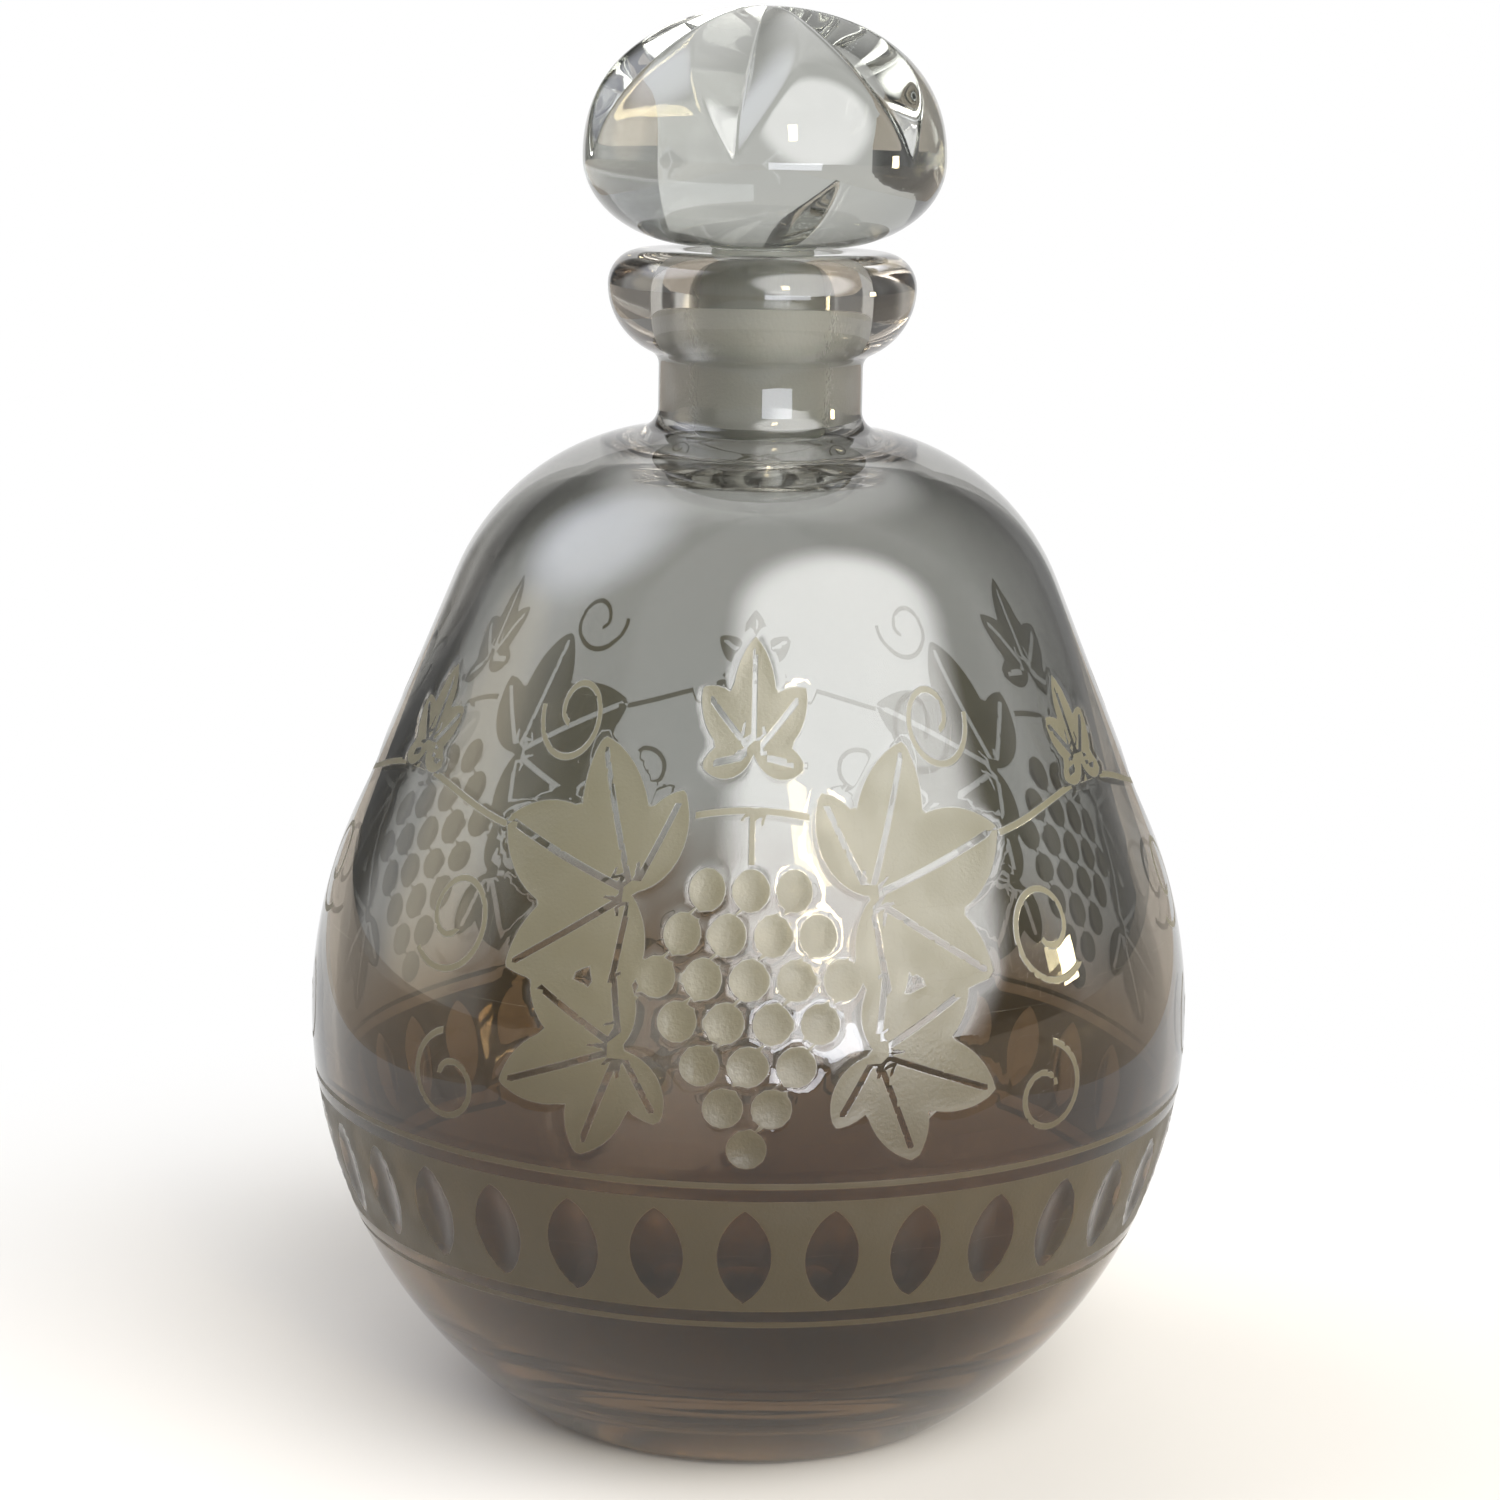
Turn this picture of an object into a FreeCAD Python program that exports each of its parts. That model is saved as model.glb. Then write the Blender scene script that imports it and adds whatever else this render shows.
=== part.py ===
# Glass spirit decanter: a pear-shaped blown bottle and a six-lobed glass stopper with a ground plug.
# Units are millimetres. The origin is the centre of the foot, Z points up, and -Y is the front.
import FreeCAD, Part
import math
import os

# Bottle, outside
belly_radius = 65.0          # widest point of the body
belly_height = 60.2          # height of that widest point
lower_ratio = 1.196          # radius of the profile arc below the widest point, per height of that point
upper_ratio = 0.8333         # radius of the arc above it, per height from there to the neck's root
shoulder_ratio = 0.405       # radius of the arc over the shoulder, per that same height
heel_radius = 8.0            # rounding from the body down to the foot
shoulder_offset = 11.6       # distance of the shoulder arc's centre from the axis
neck_root_height = 146.6     # where the shoulder arc runs into the neck
neck_radius = 14.8
neck_root_fillet = 3.0       # hollow between shoulder and neck
collar_radius = 22.3         # rim of the poured collar
collar_height = 167.0        # height of that rim
collar_under_arc = 10.5      # swelling under the rim
collar_over_arc = 5.0        # rounding above the rim, up to the flat lip
collar_fillet = 2.0          # hollow between neck and collar

# Bottle, inside and underneath
wall = 3.2                   # body wall
base_thickness = 11.0
floor_round = 25.0           # inner rounding from the floor into the wall
bead_radius = 17.0           # ring of thick glass that hangs inside, below the neck
bead_round = 1.4             # rounding of the bead's lower edge
bead_drop = 8.2              # how far the bead reaches below the neck's root
bead_fillet = 3.0            # hollow between the bead and the inner shoulder
funnel_height = 8.0          # from the bead's lower edge up to the neck's bore
throat_round = 2.5           # rounding between funnel and bore
lip_round = 1.5              # rounding of the mouth's edge
foot_ring = 6.0              # width of the flat ring that the bottle stands on
dish_depth = 2.0             # hollow inside that ring

# Ground joint: plug and socket share one cone
joint_taper = 0.05           # radius gained per millimetre of height, the usual 1 in 10 on diameter
plug_radius = 10.3           # at the plug's top
plug_length = 20.5
plug_chamfer = 0.8           # bevel round the plug's lower end
plug_depth = 11.0            # how far below the collar's flat lip the plug's top sits
joint_clearance = 0.05       # radial room left between plug and socket
stem_top_radius = 7.2        # the stem narrows from the plug to here, under the head

# Stopper head
seat_gap = 0.6               # room between the collar's lip and the head
head_radius = 26.1           # widest point of the head
bowl_reach = 16.7            # how far the underside swells outwards
bowl_depth = 12.4            # height of the underside, up to the widest point
crown_height = 21.5          # height of the grooved dome above the widest point
crown_fullness = 2.2         # exponent of the dome's outline: 2 is an ellipse, more is squarer
grooves = 6
groove_depth = 4.2           # of the V-grooves that part the dome into lobes
groove_slope = 0.57          # depth that a groove loses for each millimetre sideways
groove_lift = 2.5            # how far the groove's wheel stands out of the dome
groove_turn = -9.0           # bearing of the front groove, in degrees from the front

DOME_STEPS = range(0, 91, 10)       # angles from the widest point, 0, to the top, 90
GROOVE_STEPS = range(-6, 86, 13)    # a groove starts just below the widest point and ends beside the top


def flat(point):
    """A profile point (radius, height) as a vector in the plane Y = 0."""
    return FreeCAD.Vector(point[0], 0, point[1])


def towards(centre, radius, target):
    """The point of a circle about centre that lies on the ray from the centre to target."""
    run, rise = target[0] - centre[0], target[1] - centre[1]
    reach = radius / math.hypot(run, rise)
    return (centre[0] + run * reach, centre[1] + rise * reach)


def on_circle(centre, radius, angle):
    """The point of a circle about centre at an angle in radians above the horizontal."""
    return (centre[0] + radius * math.cos(angle), centre[1] + radius * math.sin(angle))


def leg(hypotenuse, side):
    """The other leg of a right-angled triangle."""
    return math.sqrt(hypotenuse ** 2 - side ** 2)


def line(start, end):
    return Part.LineSegment(flat(start), flat(end)).toShape()


def arc(centre, start, end):
    """The shorter arc about centre from start to end."""
    radius = math.dist(centre, start)
    between = ((start[0] + end[0]) / 2, (start[1] + end[1]) / 2)
    middle = towards(centre, radius, between)
    return Part.Arc(flat(start), flat(middle), flat(end)).toShape()


def rounded_corner(before, corner, after, radius):
    """The arc that rounds the corner between two straight runs, with its two ends."""
    to_before = towards(corner, 1.0, before)
    to_after = towards(corner, 1.0, after)
    half_angle = math.asin(math.dist(to_before, to_after) / 2)
    start = towards(corner, radius / math.tan(half_angle), before)
    end = towards(corner, radius / math.tan(half_angle), after)
    halfway = ((to_before[0] + to_after[0]) / 2, (to_before[1] + to_after[1]) / 2)
    centre = towards(corner, radius / math.sin(half_angle), halfway)
    return arc(centre, start, end), start, end


def touching_point(centre, radius, outside):
    """Where a straight run from a point outside touches a circle, on the nearer side of the axis."""
    run, rise = outside[0] - centre[0], outside[1] - centre[1]
    angle = math.atan2(rise, run) + math.acos(radius / math.hypot(run, rise))
    return on_circle(centre, radius, angle)


def meeting_point(one, one_radius, two, two_radius):
    """The point at two given distances from two points, right of the way from the first to the second."""
    run, rise = two[0] - one[0], two[1] - one[1]
    span = math.hypot(run, rise)
    turn = math.acos((one_radius ** 2 + span ** 2 - two_radius ** 2) / (2 * one_radius * span))
    return on_circle(one, one_radius, math.atan2(rise, run) - turn)


def turned(edges):
    """The solid that a closed profile sweeps round the axis."""
    profile = Part.Face(Part.Wire(edges))
    return profile.revolve(FreeCAD.Vector(0, 0, 0), FreeCAD.Vector(0, 0, 1), 360)


# Places that bottle and stopper share
lip_height = collar_height + collar_over_arc
plug_top = lip_height - plug_depth
plug_bottom = plug_top - plug_length
head_foot = lip_height + seat_gap
waistline = head_foot + bowl_depth


def joint_radius(height):
    """Radius of the ground plug's cone at a height."""
    return plug_radius + joint_taper * (height - plug_top)


def socket_radius(height):
    """Radius of the neck's bore at a height: the plug's cone with the joint's clearance."""
    return joint_radius(height) + joint_clearance


def make_bottle():
    """The blown bottle in one piece: foot, pear-shaped body, neck and collar, hollow inside."""
    upper_height = neck_root_height - belly_height
    lower_arc = lower_ratio * belly_height
    upper_arc = upper_ratio * upper_height
    shoulder_arc = shoulder_ratio * upper_height
    lower_belly = (belly_radius - lower_arc, belly_height)
    upper_belly = (belly_radius - upper_arc, belly_height)
    widest = (belly_radius, belly_height)
    shoulder_drop = leg(shoulder_arc, neck_radius - shoulder_offset)
    shoulder = (shoulder_offset, neck_root_height - shoulder_drop)

    # The straight upper wall is the common tangent of the belly and shoulder arcs
    bearing = math.atan2(shoulder[1] - belly_height, shoulder[0] - upper_belly[0])
    taper = bearing - math.acos((upper_arc - shoulder_arc) / math.dist(upper_belly, shoulder))
    belly_end = on_circle(upper_belly, upper_arc, taper)
    shoulder_start = on_circle(shoulder, shoulder_arc, taper)

    # Foot and heel
    heel_reach = leg(lower_arc - heel_radius, belly_height - heel_radius)
    heel = (lower_belly[0] + heel_reach, heel_radius)
    foot_edge = (heel[0], 0)
    belly_start = towards(lower_belly, lower_arc, heel)
    dish_radius = heel[0] - foot_ring
    dish_sphere = (dish_radius ** 2 + dish_depth ** 2) / (2 * dish_depth)
    dish = (0, dish_depth - dish_sphere)

    # Neck and collar
    root_reach = neck_radius + neck_root_fillet
    root_rise = leg(shoulder_arc + neck_root_fillet, root_reach - shoulder[0])
    root = (root_reach, shoulder[1] + root_rise)
    shoulder_end = towards(shoulder, shoulder_arc, root)
    under = (collar_radius - collar_under_arc, collar_height)
    over = (collar_radius - collar_over_arc, collar_height)
    hollow_reach = neck_radius + collar_fillet
    hollow_drop = leg(collar_under_arc + collar_fillet, hollow_reach - under[0])
    hollow = (hollow_reach, collar_height - hollow_drop)
    under_start = towards(under, collar_under_arc, hollow)
    rim = (collar_radius, collar_height)
    lip_edge = (over[0], lip_height)

    # Bore, from the mouth's rounded edge down to the throat, and the funnel below it that ends in the bead
    bead_low = neck_root_height - bead_drop
    bead = (bead_radius, bead_low + bead_round)
    throat_height = bead_low + funnel_height
    mouth = (socket_radius(lip_height), lip_height)
    throat = (socket_radius(throat_height), throat_height)
    funnel_foot = touching_point(bead, bead_round, throat)

    # Inside of the body: it follows the outside at the wall's thickness, down to the thicker base
    inner_shoulder = shoulder_arc - wall
    bead_hollow = meeting_point(shoulder, inner_shoulder - bead_fillet, bead, bead_round + bead_fillet)
    bead_end = towards(bead, bead_round, bead_hollow)
    ceiling = towards(shoulder, inner_shoulder, bead_hollow)
    inner_wall_top = on_circle(shoulder, inner_shoulder, taper)
    inner_wall_foot = on_circle(upper_belly, upper_arc - wall, taper)
    inner_widest = (belly_radius - wall, belly_height)
    floor_height = base_thickness + floor_round
    floor_reach = leg(lower_arc - wall - floor_round, belly_height - floor_height)
    floor = (lower_belly[0] + floor_reach, floor_height)
    inner_belly_end = towards(lower_belly, lower_arc - wall, floor)
    floor_edge = (floor[0], base_thickness)
    floor_middle = (0, base_thickness)

    lip_arc, lip_start, lip_end = rounded_corner(lip_edge, mouth, throat, lip_round)
    throat_arc, throat_start, throat_end = rounded_corner(mouth, throat, funnel_foot, throat_round)

    return turned([
        arc(dish, (0, dish_depth), (dish_radius, 0)),
        line((dish_radius, 0), foot_edge),
        arc(heel, foot_edge, belly_start),
        arc(lower_belly, belly_start, widest),
        arc(upper_belly, widest, belly_end),
        line(belly_end, shoulder_start),
        arc(shoulder, shoulder_start, shoulder_end),
        arc(root, shoulder_end, (neck_radius, root[1])),
        line((neck_radius, root[1]), (neck_radius, hollow[1])),
        arc(hollow, (neck_radius, hollow[1]), under_start),
        arc(under, under_start, rim),
        arc(over, rim, lip_edge),
        line(lip_edge, lip_start),
        lip_arc,
        line(lip_end, throat_start),
        throat_arc,
        line(throat_end, funnel_foot),
        arc(bead, funnel_foot, bead_end),
        arc(bead_hollow, bead_end, ceiling),
        arc(shoulder, ceiling, inner_wall_top),
        line(inner_wall_top, inner_wall_foot),
        arc(upper_belly, inner_wall_foot, inner_widest),
        arc(lower_belly, inner_widest, inner_belly_end),
        arc(floor, inner_belly_end, floor_edge),
        line(floor_edge, floor_middle),
        line(floor_middle, (0, dish_depth)),
    ])


def dome_point(step):
    """A point of the dome's outline: a superellipse, at an angle in degrees from the widest point."""
    across, rise = math.cos(math.radians(step)), math.sin(math.radians(step))
    power = 2 / crown_fullness
    return (head_radius * across ** power, waistline + crown_height * math.copysign(abs(rise) ** power, rise))


def dome_outward(step):
    """The direction square to the dome's outline at such a point."""
    across, rise = math.cos(math.radians(step)), math.sin(math.radians(step))
    power = 2 - 2 / crown_fullness
    slope = (across ** power / head_radius, math.copysign(abs(rise) ** power, rise) / crown_height)
    return towards((0, 0), 1, slope)


def make_groove():
    """The V-shaped room that a wheel grinds out of the dome's front, from its widest point to its top."""
    sections = []
    for step in GROOVE_STEPS:
        depth = groove_depth * math.sin(math.radians(2 * step))
        reach, height = dome_point(step)
        out, up = dome_outward(step)
        half_width = (groove_lift + depth) / groove_slope
        valley = FreeCAD.Vector(0, -reach + depth * out, height - depth * up)
        left = FreeCAD.Vector(-half_width, -reach - groove_lift * out, height + groove_lift * up)
        right = FreeCAD.Vector(half_width, left.y, left.z)
        sections.append(Part.makePolygon([valley, right, left, valley]))
    return Part.makeLoft(sections, True, False)


def make_blank():
    """The round stopper before its grooves: ground plug, narrowing stem and flattened head."""
    plug_foot = joint_radius(plug_bottom)
    chamfer_start = (plug_foot - plug_chamfer, plug_bottom)
    chamfer_end = (joint_radius(plug_bottom + plug_chamfer), plug_bottom + plug_chamfer)
    stem_foot = (plug_radius, plug_top)
    stem_top = (stem_top_radius, head_foot)
    bowl_foot = (head_radius - bowl_reach, head_foot)
    bowl_middle = (bowl_foot[0], waistline)
    bowl_top = (bowl_foot[0], waistline + bowl_depth)
    widest = (head_radius, waistline)
    top = (0, waistline + crown_height)
    bowl = Part.ArcOfEllipse(
        Part.Ellipse(flat(widest), flat(bowl_top), flat(bowl_middle)), -math.pi / 2, 0)
    dome = Part.BSplineCurve()
    dome.interpolate(
        Points=[flat(widest)] + [flat(dome_point(step)) for step in DOME_STEPS[1:-1]] + [flat(top)],
        InitialTangent=FreeCAD.Vector(0, 0, 1), FinalTangent=FreeCAD.Vector(-1, 0, 0))
    return turned([
        line((0, plug_bottom), chamfer_start),
        line(chamfer_start, chamfer_end),
        line(chamfer_end, stem_foot),
        line(stem_foot, stem_top),
        line(stem_top, bowl_foot),
        bowl.toShape(),
        dome.toShape(),
        line(top, (0, plug_bottom)),
    ])


def make_stopper():
    """Head, stem and plug, one piece of solid glass, with equal grooves round the head."""
    axis = FreeCAD.Vector(0, 0, 1)
    first = make_groove().rotate(FreeCAD.Vector(), axis, groove_turn)
    wheels = [first.rotated(FreeCAD.Vector(), axis, 360 * k / grooves) for k in range(grooves)]
    return make_blank().cut(wheels)


pieces = {
    "decanter_bottle": make_bottle(),
    "stopper": make_stopper(),
}

os.makedirs("parts", exist_ok=True)
for name, shape in pieces.items():
    shape.exportStep(os.path.join("parts", name + ".step"))
    box = shape.BoundBox
    print(f"{name}: {shape.Volume / 1000:.1f} cm3, solids {len(shape.Solids)}, valid {shape.isValid()}, "
          f"radius {box.XMax:.1f} mm, height {box.ZMin:.1f} to {box.ZMax:.1f} mm")
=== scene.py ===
# %% [markdown]
# # A glass decanter and its lobed stopper
# The object is two pieces of clear glass: a blown, pear-shaped bottle, and a solid stopper whose plug is
# ground to fit the neck. The CAD model, loaded here as a fixed frame, gives their places and sizes and
# how the stopper moves. This script gives the looks: smooth meshes with both sides of the wall, so that
# they bend light as real glass does, an engraved decoration, a matt ground joint, and a soft white
# studio. Shapes are worked out in millimetres and become Blender's metres when a mesh is made.

# %% Load the frame
import math
import bpy
import numpy as np
from mathutils import Matrix, Vector


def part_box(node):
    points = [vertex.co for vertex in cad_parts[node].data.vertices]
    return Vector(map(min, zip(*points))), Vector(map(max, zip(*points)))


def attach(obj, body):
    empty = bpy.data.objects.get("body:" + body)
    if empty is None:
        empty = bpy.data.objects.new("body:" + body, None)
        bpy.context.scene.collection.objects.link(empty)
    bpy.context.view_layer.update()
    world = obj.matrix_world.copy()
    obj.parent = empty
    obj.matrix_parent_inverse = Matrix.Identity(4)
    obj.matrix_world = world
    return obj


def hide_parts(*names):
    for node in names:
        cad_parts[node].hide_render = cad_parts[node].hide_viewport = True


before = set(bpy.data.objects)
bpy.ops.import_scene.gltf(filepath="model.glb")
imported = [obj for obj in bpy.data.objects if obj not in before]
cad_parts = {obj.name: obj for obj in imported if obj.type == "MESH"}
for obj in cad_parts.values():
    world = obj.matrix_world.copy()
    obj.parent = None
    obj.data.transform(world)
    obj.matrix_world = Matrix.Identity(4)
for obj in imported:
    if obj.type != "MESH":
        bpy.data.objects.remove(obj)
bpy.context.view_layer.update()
MM = 0.001
bottle_low, bottle_high = (np.array(corner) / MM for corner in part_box("decanter_bottle"))
stopper_low, stopper_high = (np.array(corner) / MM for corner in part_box("stopper"))
# The frame's round shapes are many-sided, so their box is a hair off. Its nearest side gives the radius.
belly_radius = min(*bottle_high[:2], *-bottle_low[:2])
lip_height = bottle_high[2]
print(f"bottle: radius {belly_radius:.1f} mm, height {lip_height:.1f} mm")
print(f"stopper: from {stopper_low[2]:.1f} to {stopper_high[2]:.1f} mm")

# %% [markdown]
# ## Profiles made of arcs
# Blown and turned glass is round about one axis, so each piece starts as a profile: distance from the
# axis and height. A curve drawn by hand would do, but the real outline is a few arcs and straight runs
# that meet without a kink, and those can be worked out exactly. Each function below samples one run and
# leaves out its last point, so that runs can be joined end to end.

# %% Runs of a profile
def straight(start, end, pitch):
    """Points on the straight way from start to end, about pitch apart, without the last one."""
    start, end = np.array(start), np.array(end)
    count = max(1, math.ceil(np.linalg.norm(end - start) / pitch))
    return start + (end - start) * np.arange(count)[:, None] / count


def arc(centre, start, end, pitch):
    """Points on the shorter arc about centre: the angle grows evenly from start to end, the radius stays."""
    centre, start, end = np.array(centre), np.array(start), np.array(end)
    first = math.atan2(*(start - centre)[::-1])
    last = math.atan2(*(end - centre)[::-1])
    sweep = (last - first + math.pi) % (2 * math.pi) - math.pi
    radius = np.linalg.norm(start - centre)
    count = max(3, math.ceil(abs(sweep) * radius / pitch))
    angles = first + sweep * np.arange(count) / count
    return centre + radius * np.column_stack([np.cos(angles), np.sin(angles)])


def towards(centre, radius, target):
    """The point of a circle about centre on the ray from the centre to target."""
    way = np.array(target) - np.array(centre)
    return np.array(centre) + way * radius / np.linalg.norm(way)


def rounding(before, corner, after, radius, pitch):
    """The arc that rounds a corner between two straight runs, and the points where it starts and ends."""
    corner = np.array(corner)
    back, on = towards(corner, 1, before) - corner, towards(corner, 1, after) - corner
    half = math.asin(np.linalg.norm(back - on) / 2)
    start, end = corner + back * radius / math.tan(half), corner + on * radius / math.tan(half)
    centre = towards(corner, radius / math.sin(half), corner + back + on)
    return arc(centre, start, end, pitch), start, end


def leg(hypotenuse, side):
    """The other leg of a right-angled triangle: the root of hypotenuse squared less side squared."""
    return math.sqrt(hypotenuse ** 2 - side ** 2)


def circle_meet(one, one_radius, two, two_radius):
    """Where circles about one and two meet: the point to the right of the way from one to two."""
    way = two - one
    span = np.linalg.norm(way)
    along = (one_radius ** 2 - two_radius ** 2 + span ** 2) / (2 * span)
    side = np.array([way[1], -way[0]]) / span
    return one + way * along / span + side * leg(one_radius, along)


print("a quarter circle of 10 mm in steps of 1 mm has", len(arc((0, 0), (10, 0), (0, 10), 1.0)), "points")

# %% [markdown]
# ## From a profile to a closed mesh
# Turning a profile could be left to the Screw modifier. Here the turned surface is one array of points, a
# row for each profile point and a column for each bearing, because the engraving and the lobes then only
# change numbers in that array. The first and last rows lie on the axis, where a fan of triangles closes
# each pole.

# %% Closed mesh from a grid
def spun(radius, height, bearing):
    """Points of a turned surface, bearing 0 in front: x = radius sin(bearing), y = -radius cos(bearing)."""
    across, along = radius * np.sin(bearing), -radius * np.cos(bearing)
    return np.stack(np.broadcast_arrays(across, along, height), axis=-1)


def glass_piece(name, grid, fields):
    """A closed, smooth object from grid[row, column, xyz] in millimetres.

    Each quad joins two rows and two columns, and the fans at both ends join a row to its point on the axis.
    Rows run from the foot up the outside, so every face looks out of the glass. fields holds named arrays
    [row, column] that the materials read as attributes.
    """
    rows, columns = grid.shape[:2]
    rings = rows - 2
    points = np.concatenate([grid[:1, 0], grid[1:-1].reshape(-1, 3), grid[-1:, 0]]) * MM
    here = np.arange(columns)
    beside = np.roll(here, -1)
    base = 1 + columns * np.arange(rings - 1)[:, None]
    quads = np.stack([base + here, base + beside, base + columns + beside, base + columns + here], axis=-1)
    top = 1 + columns * (rings - 1)
    first_fan = np.stack([0 * here, 1 + beside, 1 + here], axis=-1)
    last_fan = np.stack([top + here, top + beside, 0 * here + top + columns], axis=-1)
    corners = np.concatenate([quads.ravel(), first_fan.ravel(), last_fan.ravel()])
    quad_count = quads.size // 4
    sizes = np.repeat([4, 3], [quad_count, 2 * columns])

    mesh = bpy.data.meshes.new(name)
    mesh.vertices.add(len(points))
    mesh.vertices.foreach_set("co", points.ravel())
    mesh.loops.add(len(corners))
    mesh.loops.foreach_set("vertex_index", corners)
    mesh.polygons.add(len(sizes))
    mesh.polygons.foreach_set("loop_start", np.concatenate([[0], np.cumsum(sizes)[:-1]]))
    mesh.polygons.foreach_set("loop_total", sizes)
    mesh.polygons.foreach_set("use_smooth", np.ones(len(sizes), dtype=bool))
    for label, field in fields.items():
        layer = mesh.attributes.new(label, "FLOAT", "POINT")
        values = np.concatenate([field[:1, 0], field[1:-1].ravel(), field[-1:, 0]])
        layer.data.foreach_set("value", values.astype(np.float32))
    mesh.update(calc_edges=True)
    mesh.validate()
    piece = bpy.data.objects.new(name, mesh)
    bpy.context.collection.objects.link(piece)
    print(f"{name}: {len(points)} points, {2 * quad_count + 2 * columns} triangles")
    return piece


print("front of a 10 mm ring:", spun(10.0, 0.0, 0.0))

# %% [markdown]
# ## The bottle's outline
# The bottle is one piece of blown glass: a foot with a shallow hollow under it, a body that swells and
# then runs straight up to a domed shoulder, a short neck, and a thick collar round the mouth. The arcs'
# centres follow from a few sizes: the straight upper wall, for one, is the line that touches both the
# belly's arc and the shoulder's.

# %% Outline, outside
belly_height, belly_arc = 60.2, 72.0
heel_radius = 8.0
shoulder_arc, shoulder_offset = 35.0, 11.6
neck_radius, neck_root_height, neck_root_fillet = 14.8, 146.6, 3.0
collar_radius, collar_under_arc, collar_over_arc, collar_fillet = 22.3, 10.5, 5.0, 2.0
dish_radius, dish_depth = 24.0, 2.0

belly = np.array([belly_radius - belly_arc, belly_height])
shoulder_rise = leg(shoulder_arc, neck_radius - shoulder_offset)
shoulder = np.array([shoulder_offset, neck_root_height - shoulder_rise])
rise = math.atan2(*(shoulder - belly)[::-1])
lean = rise - math.acos((belly_arc - shoulder_arc) / np.linalg.norm(shoulder - belly))
out = np.array([math.cos(lean), math.sin(lean)])
heel = np.array([belly[0] + leg(belly_arc - heel_radius, belly_height - heel_radius), heel_radius])
foot_edge = np.array([heel[0], 0])
dish = np.array([0, (dish_depth ** 2 - dish_radius ** 2) / (2 * dish_depth)])
root_reach = neck_radius + neck_root_fillet
root_rise = leg(shoulder_arc + neck_root_fillet, root_reach - shoulder[0])
root = np.array([root_reach, shoulder[1] + root_rise])
collar_height = lip_height - collar_over_arc
under = np.array([collar_radius - collar_under_arc, collar_height])
over = np.array([collar_radius - collar_over_arc, collar_height])
hollow_reach = neck_radius + collar_fillet
hollow_drop = leg(collar_under_arc + collar_fillet, hollow_reach - under[0])
hollow = np.array([hollow_reach, collar_height - hollow_drop])
print(f"upper wall leans in by {math.degrees(lean):.1f} degrees")

# %% [markdown]
# ## The inside of the bottle
# The inside follows the outside at the wall's thickness, about 3 mm, over a thicker base. At the neck the
# glass is thick: a ground bore takes the plug, and below it a funnel ends in a rounded bead that hangs
# into the body. That bead is the dark ring that shows under the neck.

# %% Outline, inside
wall, base_thickness, floor_round = 3.2, 11.0, 25.0
lip_round, throat_round = 1.5, 2.5
bead_radius, bead_round, bead_fillet = 17.0, 1.4, 3.0
bead_drop, funnel_length = 8.2, 8.0
joint_taper, plug_radius, plug_depth, joint_clearance = 0.05, 10.3, 11.0, 0.05
bead_low = neck_root_height - bead_drop
throat_height = bead_low + funnel_length
plug_top = lip_height - plug_depth


def joint_radius(height):
    """Radius of the ground plug's cone at a height: it grows by the taper for each millimetre upwards."""
    return plug_radius + joint_taper * (height - plug_top)


mouth = np.array([joint_radius(lip_height) + joint_clearance, lip_height])
throat = np.array([joint_radius(throat_height) + joint_clearance, throat_height])
bead = np.array([bead_radius, bead_low + bead_round])
inner_shoulder_arc = shoulder_arc - wall
inner_belly_arc = belly_arc - wall
bead_hollow = circle_meet(shoulder, inner_shoulder_arc - bead_fillet, bead, bead_fillet + bead_round)
to_throat = throat - bead
funnel_angle = math.atan2(to_throat[1], to_throat[0]) + math.acos(bead_round / np.linalg.norm(to_throat))
funnel_foot = bead + bead_round * np.array([math.cos(funnel_angle), math.sin(funnel_angle)])
floor_height = base_thickness + floor_round
floor_reach = belly[0] + leg(inner_belly_arc - floor_round, belly_height - floor_height)
floor_turn = np.array([floor_reach, floor_height])
floor_edge = np.array([floor_reach, base_thickness])
print(f"inside is {belly_radius - wall:.1f} mm wide at most, its floor is flat to {floor_reach:.1f} mm")

# %% Outline, joined up
# Millimetres between rows: straight and plain runs need few rows, engraved runs and tight bends many.
COARSE, MIDDLE, ENGRAVED, FINE = 4.0, 2.0, 1.0, 0.7
COLLAR = FINE * 1.3
# Close rows start just below the engraving, where the belly's arc has this sine.
close_sine = -0.42
# The bore is ground a little further up than the plug reaches.
ground_margin = 4.0
belly_start, belly_end = towards(belly, belly_arc, heel), belly + belly_arc * out
close_start = belly + belly_arc * np.array([leg(1, close_sine), close_sine])
shoulder_start, shoulder_end = shoulder + shoulder_arc * out, towards(shoulder, shoulder_arc, root)
under_start = towards(under, collar_under_arc, hollow)
rim, lip_edge = (collar_radius, collar_height), (over[0], lip_height)
neck_foot, neck_head = (neck_radius, root[1]), (neck_radius, hollow[1])
inner_top, inner_foot = shoulder + inner_shoulder_arc * out, belly + inner_belly_arc * out
bead_out = towards(shoulder, inner_shoulder_arc, bead_hollow)
bead_in = towards(bead, bead_round, bead_hollow)
inner_heel = towards(belly, inner_belly_arc, floor_turn)
lip_run, lip_start, lip_end = rounding(lip_edge, mouth, throat, lip_round, FINE)
throat_run, throat_start, throat_end = rounding(mouth, throat, funnel_foot, throat_round, FINE)
ground_top = plug_top + ground_margin
seat_start = (joint_radius(ground_top) + joint_clearance, ground_top)

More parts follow.
